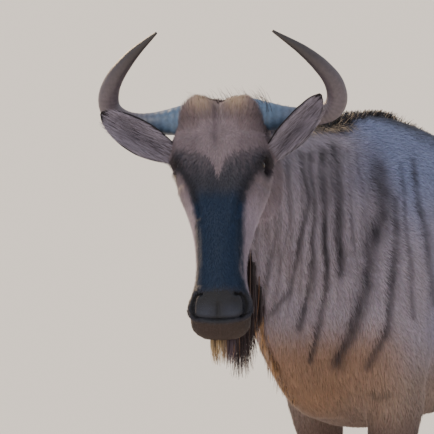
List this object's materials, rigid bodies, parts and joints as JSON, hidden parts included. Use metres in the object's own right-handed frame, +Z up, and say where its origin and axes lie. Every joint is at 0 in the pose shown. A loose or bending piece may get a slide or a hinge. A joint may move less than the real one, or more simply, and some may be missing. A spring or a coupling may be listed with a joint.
{
  "type": "wildebeest",
  "caption": "Life-size standing blue wildebeest with curved horns, cupped ears, striped neck, mane, throat beard, cloven hooves and a tasselled tail.",
  "frame": {"origin": "on the floor, below the middle of the standing animal's box", "axes": "+Z up, +Y along the body towards the tail (the animal looks along -Y), +X across the body to its left side"},
  "size_m": [0.519, 1.854, 1.478],
  "materials": {
    "coat": "short brindled grey-brown coat",
    "face_coat": "short dark facial hair, tan on the brow",
    "dark_hair": "long coarse dark hair",
    "horn": "satin grey horn",
    "hoof": "satin dark hoof horn",
    "eye": "wet gloss"
  },
  "bodies": {
    "root": {"ear_left": "coat", "ear_right": "coat", "eye_left": "eye", "eye_right": "eye", "head": "face_coat", "hoof_front_left_inner": "hoof", "hoof_front_left_outer": "hoof", "hoof_front_right_inner": "hoof", "hoof_front_right_outer": "hoof", "hoof_hind_left_inner": "hoof", "hoof_hind_left_outer": "hoof", "hoof_hind_right_inner": "hoof", "hoof_hind_right_outer": "hoof", "horn_left": "horn", "horn_right": "horn", "leg_front_left": "coat", "leg_front_right": "coat", "leg_hind_left": "coat", "leg_hind_right": "coat", "neck": "coat", "tail_dock": "coat", "tail_tassel": "dark_hair", "torso": "coat"}
  },
  "joints": []
}
